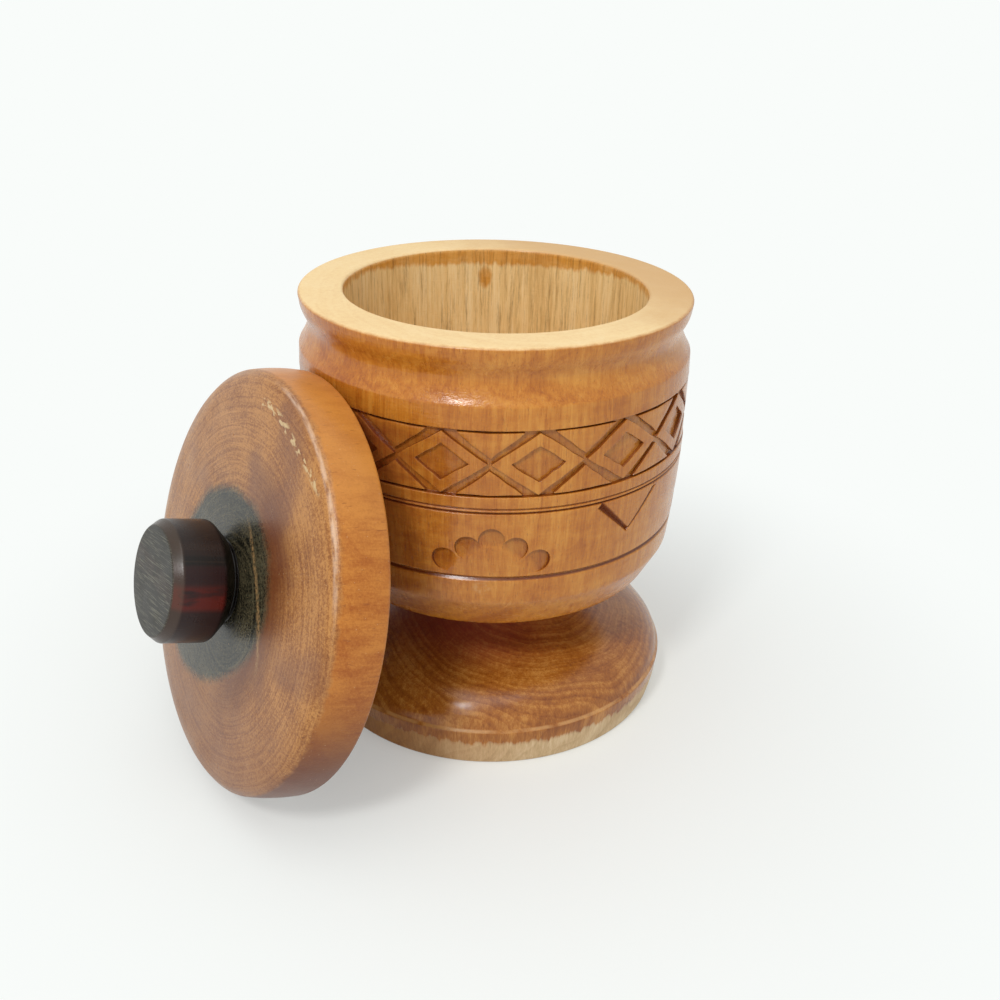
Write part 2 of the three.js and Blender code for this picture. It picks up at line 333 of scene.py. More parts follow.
relief_top = wall_radius(band_top) - 0.1 * mm
relief_thickness = band_depth + 0.5 * mm
lozenge_count = 14
pitch = math.tau * relief_top / lozenge_count
band_middle = (band_bottom + band_top) / 2
half_width = pitch / 2 - 0.35 * mm
half_height = (band_top - band_bottom) / 2 - 0.6 * mm
half_lozenge_size = (half_width - 3.4 * mm, half_height - 1.6 * mm)
stroke = 2.9 * mm
print("each lozenge is", round(2 * half_width / mm, 1), "by", round(2 * half_height / mm, 1), "mm")

# %% [markdown]
# A lozenge is a circle of four points, scaled to its size. Inset leaves a frame when its middle is
# deleted, and Extrude gives the frame its height. A half lozenge is the same diamond, cut by Bisect.
# Each copy is then subdivided and its points shaken with a seed of its own, for the uneven line of a
# hand-held knife, and a Bevel modifier takes the edge off.

# %% Lozenges, lying flat
def place_mesh(piece, matrix):
    activate(piece)
    piece.matrix_world = matrix
    bpy.ops.object.transform_apply(location=True, rotation=True, scale=True)
    return piece


def diamond(name, size, place):
    deselect_all()
    bpy.ops.mesh.primitive_circle_add(vertices=4, radius=1, fill_type="NGON")
    upright = Matrix.Translation((place[0], 0, place[1])) @ Matrix.Rotation(math.pi / 2, 4, "X")
    return place_mesh(name_piece(name), upright @ Matrix.Diagonal((size[0], size[1], 1, 1)))


def raise_flat(piece, thickness, seed):
    activate(piece)
    bpy.ops.object.mode_set(mode="EDIT")
    bpy.ops.mesh.select_all(action="SELECT")
    bpy.ops.mesh.subdivide(number_cuts=3)
    bpy.ops.transform.vertex_random(offset=hand_shake, uniform=1.0, normal=0.0, seed=seed)
    bpy.ops.mesh.subdivide(number_cuts=1)
    bpy.ops.transform.resize(value=(1, 0, 1), center_override=(0, 0, 0))
    bpy.ops.mesh.extrude_region_move(TRANSFORM_OT_translate={"value": (0, thickness, 0)})
    face_outwards()
    bevel = piece.modifiers.new("bevel", "BEVEL")
    bevel.width = 0.28 * mm
    bevel.segments = 2
    bevel.angle_limit = math.radians(50)
    apply_modifiers(piece)
    return piece


def hollow_lozenge(place_x, seed):
    piece = diamond("lozenge", (half_width, half_height), (place_x, band_middle))
    bpy.ops.object.mode_set(mode="EDIT")
    bpy.ops.mesh.inset(thickness=stroke, use_even_offset=True)
    bpy.ops.mesh.delete(type="FACE")
    bpy.ops.object.mode_set(mode="OBJECT")
    return raise_flat(piece, relief_thickness, seed)


def half_lozenge(place_x, side, seed):
    edge = band_middle + side * half_height
    piece = diamond("half_lozenge", half_lozenge_size, (place_x, edge))
    bpy.ops.object.mode_set(mode="EDIT")
    bpy.ops.mesh.bisect(plane_co=(0, 0, edge), plane_no=(0, 0, side), clear_outer=True)
    bpy.ops.mesh.select_all(action="SELECT")
    bpy.ops.object.mode_set(mode="OBJECT")
    return raise_flat(piece, relief_thickness, seed)


relief_pieces = []
for i in range(lozenge_count):
    middle_x = (i - (lozenge_count - 1) / 2) * pitch
    relief_pieces.append(hollow_lozenge(middle_x, 3 * i + 1))
    relief_pieces.append(half_lozenge(middle_x + pitch / 2, 1, 3 * i + 2))
    relief_pieces.append(half_lozenge(middle_x + pitch / 2, -1, 3 * i + 3))
relief = bend_round(join(relief_pieces, "relief"), relief_top)
count(relief)
combine(bowl, relief, "UNION")
count(bowl)

# %% [markdown]
# ## The gouged arches and the chevrons
# An arch is five cuts side by side, each made with one push of a round gouge: deep at the outer end, and
# running out to nothing towards the middle of the arch. The cutter is a cylinder that leans that way.
# The cutters are laid out flat and then bent round, as the relief was. Neighbours overlap, so every other
# one is cut first and the rest in a second go. A shape key or a displaced surface could show the arches
# too, but a boolean leaves the crisp lip that a gouge leaves.

# %% Cutters for an arch
lobe_radius = 3.4 * mm
lobe_spacing = 6.1 * mm
lobe_drop = 2.55 * mm
lobe_curve = 1.34
middle_lobe = 2
arch_foot = lower_groove + 2 * mm
arch_top = arch_foot + 9.8 * mm
gouge_lean = math.radians(11)
gouge_depth = 0.55 * mm
gouge_length = 5 * mm
arch_shift = 0.8 * mm
carving_count = 4
carving_radius = wall_radius((lower_groove + middle_groove) / 2)
carving_pitch = math.tau * wall_radius(arch_foot) / carving_count


def carving_middle(i):
    return (i - (carving_count - 1) / 2) * carving_pitch


def gouge_cutter(place_x, place_z, direction, depth):
    deselect_all()
    bpy.ops.mesh.primitive_cylinder_add(vertices=32, radius=lobe_radius, depth=gouge_length)
    lean_axis = (-math.sin(direction), 0, math.cos(direction))
    gouge_place = (
        Matrix.Translation((place_x, depth, place_z))
        @ Matrix.Rotation(gouge_lean, 4, lean_axis)
        @ Matrix.Translation((0, -gouge_length / 2, 0))
        @ Matrix.Rotation(math.pi / 2, 4, "X")
    )
    piece = place_mesh(name_piece("gouge"), gouge_place)
    bpy.ops.object.mode_set(mode="EDIT")
    face_outwards()
    return piece


def arch_cutters(middle_x, lobes):
    cutters = []
    for lobe in lobes:
        from_middle = lobe - middle_lobe
        place_x = middle_x + from_middle * lobe_spacing
        place_z = arch_top - lobe_drop * abs(from_middle) ** lobe_curve
        outward = math.atan2(place_z - arch_foot, place_x - middle_x)
        below_bend = carving_radius - wall_radius(place_z)
        cutters.append(gouge_cutter(place_x, place_z, outward, gouge_depth + below_bend))
    return cutters


for lobes in ((0, 2, 4), (1, 3)):
    cutters = []
    for i in range(carving_count):
        cutters += arch_cutters(carving_middle(i) + carving_pitch / 2 + arch_shift, lobes)
    combine(bowl, bend_round(join(cutters, "gouges"), carving_radius), "DIFFERENCE")
count(bowl)

# %% [markdown]
# A chevron hangs between two arches. On the real jar its left leg is a broad V cut and its right leg a
# thin knife line. A V cut could be drawn into the mesh by hand, but a prism of three sides has its shape
# already. At its axis, which lies on the wall, it is 1.155 times its radius wide, so it is scaled sideways
# to the width of the cut. It is subdivided, so that it can follow the wall when it is bent round, and the
# two legs are cut one after the other, because they meet at the point.

# %% Cutters for a chevron
prism_width = 1.155


def knife_cutter(start, end, width, depth):
    run = Vector((end[0] - start[0], 0, end[1] - start[1]))
    deselect_all()
    bpy.ops.mesh.primitive_cylinder_add(vertices=3, radius=depth, depth=run.length)
    knife_place = (
        Matrix.Translation(((start[0] + end[0]) / 2, 0, (start[1] + end[1]) / 2))
        @ Matrix.Rotation(math.atan2(run.x, run.z), 4, "Y")
        @ Matrix.Diagonal((width / (prism_width * depth), 1, 1, 1))
    )
    piece = place_mesh(name_piece("knife"), knife_place)
    bpy.ops.object.mode_set(mode="EDIT")
    bpy.ops.mesh.select_all(action="SELECT")
    bpy.ops.mesh.subdivide(number_cuts=6)
    face_outwards()
    return piece


chevron_half = 10.6 * mm
chevron_shift = -2.2 * mm
chevron_top = middle_groove - 1.3 * mm
chevron_point = chevron_top - 10.3 * mm
broad_legs = []
thin_legs = []
for i in range(carving_count):
    point_x = carving_middle(i) + chevron_shift
    left_end = (point_x - chevron_half, chevron_top)
    right_end = (point_x + chevron_half, chevron_top)
    broad_legs.append(knife_cutter(left_end, (point_x + 0.2 * mm, chevron_point), 1.7 * mm, 0.9 * mm))
    thin_legs.append(knife_cutter(right_end, (point_x, chevron_point), 1 * mm, 0.8 * mm))
for legs in (broad_legs, thin_legs):
    combine(bowl, bend_round(join(legs, "knife_cuts"), carving_radius), "DIFFERENCE")
count(bowl)

# %% [markdown]
# The surface is shaded smooth where it was turned, and keeps its edges where it was cut. Smooth by Angle
# tells the two apart by how sharply the faces meet.

# %% Smooth the turned faces
def smooth(piece, degrees):
    activate(piece)
    bpy.ops.object.shade_smooth_by_angle(angle=math.radians(degrees))


smooth(bowl, 35)
print("smoothed", bowl.name)

# %% [markdown]
# ## The pedestal foot
# The foot is turned with the bowl's axis upright: a low side, a rolled top that flares up into the stem,
# and a tenon that is glued into the bowl. The underside is flat, so that the jar stands still.

# %% The foot
foot_step = 11.6 * mm
foot_corners = [
    (0, 0, 0),
    (foot_radius / 2, 0, 0),
    (foot_radius - 1.9 * mm, 0, 0.7 * mm),
    (foot_radius - 0.7 * mm, 5 * mm, 3 * mm),
    (foot_radius, foot_step, 0.3 * mm),
    (foot_radius - 0.75 * mm, foot_step + 0.9 * mm, 0.3 * mm),
    (foot_radius - 1.5 * mm, 15.2 * mm, 1.4 * mm),
    (foot_radius - 4.5 * mm, 19 * mm, 2.5 * mm),
    (foot_radius - 9.9 * mm, 22.2 * mm, 4 * mm),
    (33 * mm, 26 * mm, 6 * mm),
    (25.4 * mm, 29.9 * mm, 4 * mm),
    (stem_radius, 35 * mm, 3 * mm),
    (stem_radius + 1.2 * mm, bowl_base - 1 * mm, 0.6 * mm),
    (stem_radius + 1.2 * mm, bowl_base - glue_gap, 0),
    (tenon_radius, bowl_base - glue_gap, 0),
    (tenon_radius, bowl_base + tenon_height, 0.5 * mm),
    (0, bowl_base + tenon_height, 0),
]
foot = turn("turned_foot", rounded_outline(foot_corners, 10), 256)
smooth(foot, 35)

# %% [markdown]
# ## The lid and its knob
# The lid is turned on its own axis, so it is made upright at the origin and then leaned as the real one is.
# The frame's mounts say where its seat is and which way it faces. Its lean is applied to the mesh, so the
# object itself stays at the origin, and a pattern in the wood is turned by a Mapping node instead.

# %% Where the lid leans
mounts = {mount["name"]: mount for mount in frame["record"]["mounts"]}
seat_point = Vector(mounts["lid_seat"]["pos_m"])
lid_normal = -Vector(mounts["lid_seat"]["axis"])
seat_ring_radius = 49 * mm
lid_across = Vector((-lid_normal.y, lid_normal.x, 0)).normalized()
lid_down = lid_across.cross(lid_normal)
lid_centre = seat_point - lid_across * seat_ring_radius
lid_turn = Matrix((lid_down, lid_across, lid_normal)).transposed().to_4x4()
lid_place = Matrix.Translation(lid_centre) @ lid_turn
print("the lid's centre is at", [round(v / mm, 2) for v in lid_centre], "mm")
print("its face looks along", [round(v, 3) for v in lid_normal])

# %% [markdown]
# The lid is one thick disc. Its top is a little domed, its edge is rolled over in two soft corners, and a
# shallow spigot under it drops into the bore, so that it can't slide off. It could be a cylinder with a
# bevelled edge, but the lathe gives the dome, the edge and the spigot from one outline.

# %% The lid
lid_radius = rim_radius + 2 * mm
lid_face = 17.2 * mm
spigot_radius = bore_radius - 0.7 * mm
spigot_depth = 2.4 * mm
knob_tenon_radius = 7.5 * mm
knob_mortise_depth = 8 * mm
lid_corners = [
    (0, -spigot_depth, 0),
    (spigot_radius, -spigot_depth, 0.7 * mm),
    (spigot_radius, 0, 0),
    (lid_radius, 0, 1.2 * mm),
    (lid_radius, 4.6 * mm, 2 * mm),
    (lid_radius - 0.5 * mm, 9.5 * mm, 2 * mm),
    (lid_radius - 1.2 * mm, 12.8 * mm, 0.6 * mm),
    (lid_radius - 3 * mm, 14.5 * mm, 1 * mm),
    (lid_radius - 6.5 * mm, 15.4 * mm, 2 * mm),
    (lid_radius - 20 * mm, 16.5 * mm, 8 * mm),
    (knob_tenon_radius + glue_gap, lid_face, 0),
    (knob_tenon_radius + glue_gap, lid_face - knob_mortise_depth, 0),
    (0, lid_face - knob_mortise_depth, 0),
]
lid = place_mesh(turn("turned_lid", rounded_outline(lid_corners, 8), 288), lid_place)
smooth(lid, 35)

# %% [markdown]
# The knob is a short drum on a narrow neck. Its front edge has a small bevel, and a broad chamfer under it
# makes room for the fingers. Its tenon is glued into the lid. It could be joined to the lid's outline, but
# it is a piece of its own in darker wood, so it is turned apart and then leaned with the lid.

# %% The knob
knob_radius = 16 * mm
knob_back = lid_face + 1.9 * mm
knob_front = knob_back + 16.7 * mm
knob_back_chamfer = 3.5 * mm
knob_neck_radius = 10.5 * mm
knob_tenon_depth = knob_mortise_depth - 0.5 * mm
knob_corners = [
    (0, lid_face - knob_tenon_depth, 0),
    (knob_tenon_radius, lid_face - knob_tenon_depth, 0.5 * mm),
    (knob_tenon_radius, lid_face + glue_gap, 0),
    (knob_neck_radius + 0.8 * mm, lid_face + glue_gap, 0.2 * mm),
    (knob_neck_radius, (lid_face + knob_back) / 2, 0.4 * mm),
    (knob_neck_radius + 0.8 * mm, knob_back, 0.3 * mm),
    (knob_radius - knob_back_chamfer, knob_back, 0.25 * mm),
    (knob_radius, knob_back + knob_back_chamfer, 0.7 * mm),
    (knob_radius - 0.2 * mm, knob_front - 2.3 * mm, 0.3 * mm),
    (knob_radius - 1.9 * mm, knob_front - 0.1 * mm, 0.3 * mm),
    (knob_radius / 2, knob_front, 4 * mm),
    (0, knob_front, 0),
]
knob = place_mesh(turn("turned_knob", rounded_outline(knob_corners, 6), 160), lid_place)
smooth(knob, 35)

# %% [markdown]
# ## How a finish is built
# A finish is a small network of nodes, and most of it is sums on the place of a point. Two helpers keep
# the cells short: add makes a node and feeds its inputs, with a value or from another node, and calc is
# one sum. Colours are given as a painter picks them, from 0 to 255, and are turned into the linear values
# that light is reckoned in.

# %% Node helpers
def feed(tree, socket, value):
    if isinstance(value, bpy.types.NodeSocket):
        tree.links.new(value, socket)
    else:
        socket.default_value = value


def add(tree, kind, inputs, **settings):
    node = tree.nodes.new("ShaderNode" + kind)
    for name, value in settings.items():
        setattr(node, name, value)
    for key, value in inputs.items():
        feed(tree, node.inputs[key], value)
    return node


def calc(tree, operation, *values):
    return add(tree, "Math", dict(enumerate(values)), operation=operation).outputs[0]


def linear(colour):
    parts = [part / 255 for part in colour]
    return (*[((part + 0.055) / 1.055) ** 2.4 if part > 0.04 else part / 12.92 for part in parts], 1)


print("a mid brown is", [round(part, 3) for part in linear((160, 100, 50))])

# %% [markdown]
# A few sums come back in every finish. Weigh adds values, each with its share. Ease turns a value into a
# mask that runs from 0 to 1 between two limits. Blend lays one colour over another where a mask says so,
# and tones gives each part of a value its colour.

# %% Sums that come back
def weigh(tree, base, *terms):
    total = base
    for value, share in terms:
        total = calc(tree, "MULTIPLY_ADD", value, share, total)
    return total


def ease(tree, value, low, high):
    inputs = {"Value": value, "From Min": low, "From Max": high}
    return add(tree, "MapRange", inputs, interpolation_type="SMOOTHSTEP").outputs[0]


def both(tree, *masks):
    total = masks[0]
    for mask in masks[1:]:
        total = calc(tree, "MULTIPLY", total, mask)
    return total


def blend(tree, mask, under, over, blend_type="MIX"):
    under, over = (linear(colour) if isinstance(colour, tuple) else colour for colour in (under, over))
    inputs = {"Factor": mask, 6: under, 7: over}
    return add(tree, "Mix", inputs, data_type="RGBA", blend_type=blend_type).outputs[2]


def tones(tree, value, dark, middle, light):
    node = add(tree, "ValToRGB", {"Fac": value})
    elements = node.color_ramp.elements
    elements.new(0.5)
    for element, position, colour in zip(elements, (0.15, 0.5, 0.85), (dark, middle, light)):
        element.position = position
        element.color = linear(colour)
    return node.outputs["Color"]


def noise(tree, place, scale, detail=2.0, roughness=0.5):
    inputs = {"Vector": place, "Scale": scale, "Detail": detail, "Roughness": roughness}
    return add(tree, "TexNoise", inputs).outputs[0]


def noise_along(tree, distance, scale, detail=2.0, roughness=0.5):
    inputs = {"W": distance, "Scale": scale, "Detail": detail, "Roughness": roughness}
    return add(tree, "TexNoise", inputs, noise_dimensions="1D").outputs[0]


def vector(tree, operation, first, second=(0, 0, 0), scale=1.0):
    node = add(tree, "VectorMath", {0: first, 1: second, 3: scale}, operation=operation)
    return node.outputs["Value" if operation in ("LENGTH", "DOT_PRODUCT") else "Vector"]


def stretched(tree, place, x, y, z):
    return vector(tree, "MULTIPLY", place, (x, y, z))


print("the sums of a finish are ready")

# %% [markdown]
# ## Wood, built once
# All four pieces are cut from logs, so one group of nodes holds what wood is. A tree's rings lie round its
# pith, and they wander as they climb. Its fibres and pores run along the trunk, which makes them long
# dashes on the side of a turned piece and small dots across its end. The group works in three dimensions
# and in millimetres, so a cut at any angle shows the figure that a real cut would. A wood picture laid on
# the surface would stretch at the rim and show a seam.

# %% The wood group
def new_group(name, inputs, outputs):
    group = bpy.data.node_groups.new(name, "ShaderNodeTree")
    for socket, value in inputs.items():
        kind = "NodeSocketVector" if value is None else "NodeSocketFloat"
        made = group.interface.new_socket(name=socket, in_out="INPUT", socket_type=kind)
        if value is not None:
            made.default_value = value
    for socket in outputs:
        group.interface.new_socket(name=socket, in_out="OUTPUT", socket_type="NodeSocketFloat")
    given = group.nodes.new("NodeGroupInput").outputs
    result = group.nodes.new("NodeGroupOutput").inputs
    return group, given, result


wood, given, result = new_group(
    "wood figure", {"Place": None, "Ring Width": 3.0, "Wobble": 5.0, "Ring Contrast": 1.0},
    ("Figure", "Streaks", "Pores", "Height"),
)
climbing = stretched(wood, given["Place"], 1, 1, 0.1)
wander = add(wood, "TexNoise", {"Vector": climbing, "Scale": 0.028, "Detail": 3.0}).outputs["Color"]
wander = vector(wood, "SUBTRACT", wander, (0.5, 0.5, 0.5))
wander = vector(wood, "SCALE", wander, scale=calc(wood, "MULTIPLY", given["Wobble"], 4.0))
from_pith = vector(wood, "ADD", given["Place"], wander)
from_pith = vector(wood, "LENGTH", stretched(wood, from_pith, 1, 1, 0))
ring = calc(wood, "DIVIDE", from_pith, given["Ring Width"])
bands = noise_along(wood, ring, 1.0, 4.0, 0.62)
late_wood = calc(wood, "POWER", calc(wood, "FRACT", weigh(wood, ring, (bands, 1.6))), 5.0)
along_trunk = stretched(wood, given["Place"], 1, 1, 0.03)
streaks = noise(wood, along_trunk, 0.9, 4.0, 0.62)
fibres = noise(wood, stretched(wood, given["Place"], 1, 1, 0.06), 3.2, 2.0, 0.6)
clouds = noise(wood, climbing, 0.06, 2.0)
pore_place = stretched(wood, given["Place"], 1, 1, 0.12)
pores = ease(wood, noise(wood, pore_place, 3.6, 1.0), 0.66, 0.76)
rings = weigh(wood, -0.75, (bands, 1.7), (late_wood, -0.35))
rings = calc(wood, "MULTIPLY", rings, given["Ring Contrast"])
figure = weigh(wood, -0.7, (rings, 1.0), (streaks, 1.0), (fibres, 0.7), (clouds, 0.7))
feed(wood, result["Figure"], figure)
feed(wood, result["Streaks"], ease(wood, streaks, 0.42, 0.7))
feed(wood, result["Pores"], pores)
feed(wood, result["Height"], weigh(wood, 0.0, (fibres, 0.5), (streaks, 0.3), (pores, -0.8)))
print("the wood group has", len(wood.nodes), "nodes")

# %% [markdown]
# ## The turner's and the varnisher's marks
# Three more groups are shared. Lathe lines are the fine rings that a tool leaves, so they are noise in one
# direction only, along the outline. A ragged edge is where brushed varnish ends: it creeps along the
# fibres, so a value is pushed to and fro by noise before it is cut off. Scratches are noise stretched far
# out in one direction, which can be turned.

# %% Groups for lathe lines, ragged edges and scratches
lathe, given, result = new_group("lathe lines", {"Along": 0.0, "Spacing": 0.6, "Place": None}, ("Lines",))
turned = calc(lathe, "DIVIDE", given["Along"], given["Spacing"])
faded = noise(lathe, given["Place"], 0.12)
lines = noise_along(lathe, turned, 1.0, 3.0, 0.7)
feed(lathe, result["Lines"], weigh(lathe, 0.25, (both(lathe, lines, faded), 1.0)))

ragged, given, result = new_group(
    "ragged edge",
    {"Value": 0.0, "Edge": 0.0, "Softness": 0.3, "Raggedness": 1.0, "Grain": 1.0, "Place": None},
    ("Mask",),
)
creep = noise(ragged, given["Place"], given["Grain"], 3.0, 0.6)
creep = calc(ragged, "MULTIPLY", calc(ragged, "SUBTRACT", creep, 0.5), given["Raggedness"])
over_edge = calc(ragged, "SUBTRACT", weigh(ragged, given["Value"], (creep, 2.0)), given["Edge"])
feed(ragged, result["Mask"], ease(ragged, over_edge, 0.0, given["Softness"]))

scratch, given, result = new_group("scratches", {"Place": None, "Turn": 0.0, "Spacing": 0.4}, ("Scratches",))
inputs = {"Vector": given["Place"], "Angle": given["Turn"]}
lying = add(scratch, "VectorRotate", inputs, rotation_type="Z_AXIS").outputs[0]
lying = stretched(scratch, lying, 0.035, 1, 1)
fine = noise(scratch, lying, calc(scratch, "DIVIDE", 1.0, given["Spacing"]), 2.0, 0.6)
feed(scratch, result["Scratches"], ease(scratch, fine, 0.5, 0.72))
print("shared groups:", sorted(group.name for group in bpy.data.node_groups))

# %% [markdown]
# Each finish starts in the same way: a material, and the place of a point in millimetres, as seen from the
# piece's own lathe axis. The lid leans, so its place is turned back upright by a Mapping node. The height
# and the distance from the axis then say which part of the turned form a point is on. The last helper
# feeds a finish to the shader, and sets what is the same all over the piece on the shader itself.

# %% Start of a finish
def new_finish(name, centre=(0, 0, 0), turn=(0, 0, 0)):
    material = bpy.data.materials.new(name)
    material.use_nodes = True
    tree = material.node_tree
    here = tree.nodes.new("ShaderNodeTexCoord").outputs["Object"]
    inputs = {"Vector": here, "Location": centre, "Rotation": turn, "Scale": (mm, mm, mm)}
    place = add(tree, "Mapping", inputs, vector_type="TEXTURE").outputs["Vector"]
    return material, tree, place


def lathe_place(tree, place):
    split = add(tree, "SeparateXYZ", {0: place}).outputs
    distance = vector(tree, "LENGTH", stretched(tree, place, 1, 1, 0))
    return split["X"], split["Y"], split["Z"], distance


def surface_normal(tree):
    return tree.nodes.new("ShaderNodeTexCoord").outputs["Normal"]


def use(tree, group, **inputs):
    named = {key.replace("_", " ").title(): value for key, value in inputs.items()}
    return add(tree, "Group", named, node_tree=group).outputs


def spot(tree, place, centre, size):
    away = vector(tree, "DIVIDE", vector(tree, "SUBTRACT", place, centre), size)
    return vector(tree, "LENGTH", away)


def finish_surface(tree, piece, material, colour, roughness, height, coat, bump=0.12, gloss=0.4):
    shader = tree.nodes["Principled BSDF"]
    relief_node = add(tree, "Bump", {"Strength": 0.7, "Distance": bump * mm, "Height": height})
    for socket, value in (("Base Color", colour), ("Roughness", roughness), ("Coat Weight", coat)):
        feed(tree, shader.inputs[socket], value)
    feed(tree, shader.inputs["Normal"], relief_node.outputs[0])
    shader.inputs["Specular IOR Level"].default_value = gloss
    shader.inputs["Coat Roughness"].default_value = 0.16
    piece.data.materials.clear()
    piece.data.materials.append(material)
    print(piece.name, "wears", material.name, "with", len(tree.nodes), "nodes")


print("a finish can be started and worn")

# %% [markdown]
# ## The jar's finish
# Outside, the wood is an orange brown under glossy varnish, with the tree's rings as a broad figure. The
# varnish pools in whatever is cut below the wall and turns it a dark red brown, and the same colour is also
# painted shade in the cuts, darkest on their steep walls. How deep a point lies is known from the outline:
# it is the wall's radius at that height less the point's own. Painting the cuts by hand would do it too,
# but this way the colour keeps to them if a size is changed. On the side where the lid leans, a red brown
# painted shadow of the lid is laid on the wall, and one small spot on the lower groove is rubbed pale.

# %% Colour of the jar's outside
jar_finish, tree, place = new_finish("varnished jar wood")
place_x, place_y, height, distance = lathe_place(tree, place)
jar_pith = (12, -8, 0)
worn_place, worn_size = (-1.6, -54, 58.9), (3.2, 6, 2.6)
from_jar_pith = vector(tree, "SUBTRACT", place, jar_pith)
grain = use(tree, wood, place=from_jar_pith, ring_width=3.0, wobble=3.0, ring_contrast=0.3)
mottled = noise(tree, stretched(tree, place, 0.6, 0.6, 1.5), 0.22, 4.0, 0.6)
figure = weigh(tree, -0.35, (grain["Figure"], 1.0), (mottled, 0.7))
outside = tones(tree, figure, (164, 90, 22), (190, 117, 36), (208, 141, 56))
outside = blend(tree, both(tree, grain["Pores"], 0.35), outside, (110, 58, 24))
from_belly = calc(tree, "SUBTRACT", height, belly_height / mm)
bulge = calc(tree, "MULTIPLY", both(tree, from_belly, from_belly), belly_curve * mm)
depth = calc(tree, "SUBTRACT", calc(tree, "SUBTRACT", belly_radius / mm, bulge), distance)
on_wall = both(
    tree,
    ease(tree, height, chamfer_top / mm + 0.5, chamfer_top / mm + 1.5),
    ease(tree, height, band_top / mm + 0.6, band_top / mm + 0.2),
)
in_band = ease(tree, height, band_bottom / mm - 0.1, band_bottom / mm + 0.3)
cut = both(tree, on_wall, ease(tree, depth, 0.06, 0.5))
facing_out = vector(tree, "NORMALIZE", stretched(tree, place, 1, 1, 0))
facing_out = vector(tree, "DOT_PRODUCT", facing_out, surface_normal(tree))
steep = ease(tree, facing_out, 0.96, 0.72)
# Varnish pooled in the cuts and painted shade together: darkest on the steep cut walls.
varnish_pool_and_painted_shade = both(tree, cut, weigh(tree, 0.3, (steep, 0.6), (in_band, -0.18)))
outside = blend(tree, varnish_pool_and_painted_shade, outside, (104, 40, 10))
# Painted shadow of the leaning lid: a red brown laid on the wall on the lid's side.
painted_lid_shadow = ease(tree, weigh(tree, -7.0, (place_x, 1.0), (mottled, 14.0)), -4, -42)
painted_lid_shadow = both(tree, painted_lid_shadow, ease(tree, place_y, 22, -16))
painted_lid_shadow = both(tree, painted_lid_shadow, ease(tree, height, band_top / mm + 2, band_top / mm - 4))
outside = blend(tree, both(tree, painted_lid_shadow, 0.8), outside, (106, 42, 29))
wear_and_painted_highlight = ease(tree, spot(tree, place, worn_place, worn_size), 1.0, 0.4)
wear_and_painted_highlight = both(tree, wear_and_painted_highlight, ease(tree, noise(tree, place, 0.9, 3.0), 0.4, 0.65))
outside = blend(tree, both(tree, wear_and_painted_highlight, 0.5), outside, (214, 168, 108))
print("varnish pools below", round(wall_radius(band_bottom) / mm, 1), "mm")

# %% [markdown]
# Inside and on the flat of the rim the wood is bare and pale. Varnish ran over the edge: it left a dark
# amber band at the top of the bore, deeper at the back, and one drip below it.

# %% Colour of the bare wood and the whole jar
bare = tones(tree, grain["Figure"], (208, 168, 104), (236, 202, 140), (246, 220, 168))
dark_fibres = noise(tree, stretched(tree, place, 1, 1, 0.06), 0.75, 5.0, 0.85)
bare = blend(tree, both(tree, ease(tree, dark_fibres, 0.48, 0.72), 0.72), bare, (142, 106, 58))
amber_edge, amber_rise, amber_limit = 119.3, 0.12, -2.6
bore_back = 42.0
drip_place, drip_size = (-4, bore_back, 115.8), (2.3, 6, 3.6)
to_front = calc(tree, "MULTIPLY", calc(tree, "SUBTRACT", place_y, bore_back), amber_rise)
to_front = calc(tree, "MAXIMUM", to_front, amber_limit)
run = use(
    tree, ragged, value=calc(tree, "ADD", height, to_front), edge=amber_edge, softness=1.6, raggedness=2.2,
    grain=0.5, place=stretched(tree, place, 1, 1, 0.3),
)["Mask"]
drip = weigh(tree, spot(tree, place, drip_place, drip_size), (noise(tree, place, 0.5, 3.0), 0.8))
drip = ease(tree, drip, 1.6, 0.9)
amber = calc(tree, "MAXIMUM", run, drip)
bare = blend(tree, both(tree, amber, weigh(tree, 0.5, (mottled, 0.7))), bare, (226, 182, 98), "MULTIPLY")
rim_wood = tones(tree, grain["Figure"], (234, 198, 142), (242, 211, 156), (246, 219, 168))
# Painted shade: the rim turns tan towards the right and the back, where less lamp light falls.
rim_painted_shade = ease(tree, weigh(tree, place_x, (place_y, 0.7), (noise(tree, place, 0.1), 30.0)), 15, 70)
rim_wood = blend(tree, both(tree, rim_painted_shade, 0.9), rim_wood, (214, 172, 118))
rim_edge = use(
    tree, ragged, value=distance, edge=rim_radius / mm - 0.9, softness=1.3, raggedness=0.5, grain=0.35,
    place=place,
)["Mask"]
on_rim = ease(tree, height, jar_height / mm - 0.7, jar_height / mm - 0.3)
bare_rim = both(tree, on_rim, calc(tree, "SUBTRACT", 1.0, rim_edge))
in_bore = both(
    tree,
    ease(tree, distance, bore_radius / mm + 0.6, bore_radius / mm + 0.2),
    ease(tree, height, bore_floor / mm - 2, bore_floor / mm - 1),
)
colour = blend(tree, in_bore, outside, bare)
colour = blend(tree, bare_rim, colour, rim_wood)
print("the bore is bare above", round(bore_floor / mm, 1), "mm")

# %% [markdown]
# The shine follows the varnish. Gloss comes from a low roughness and a thin coat, and both end where the
# wood is bare. The relief of fibres, lathe lines and brush strokes is far too fine to model, so it is
# left to a Bump node, and it breaks up the highlights as on the real jar.

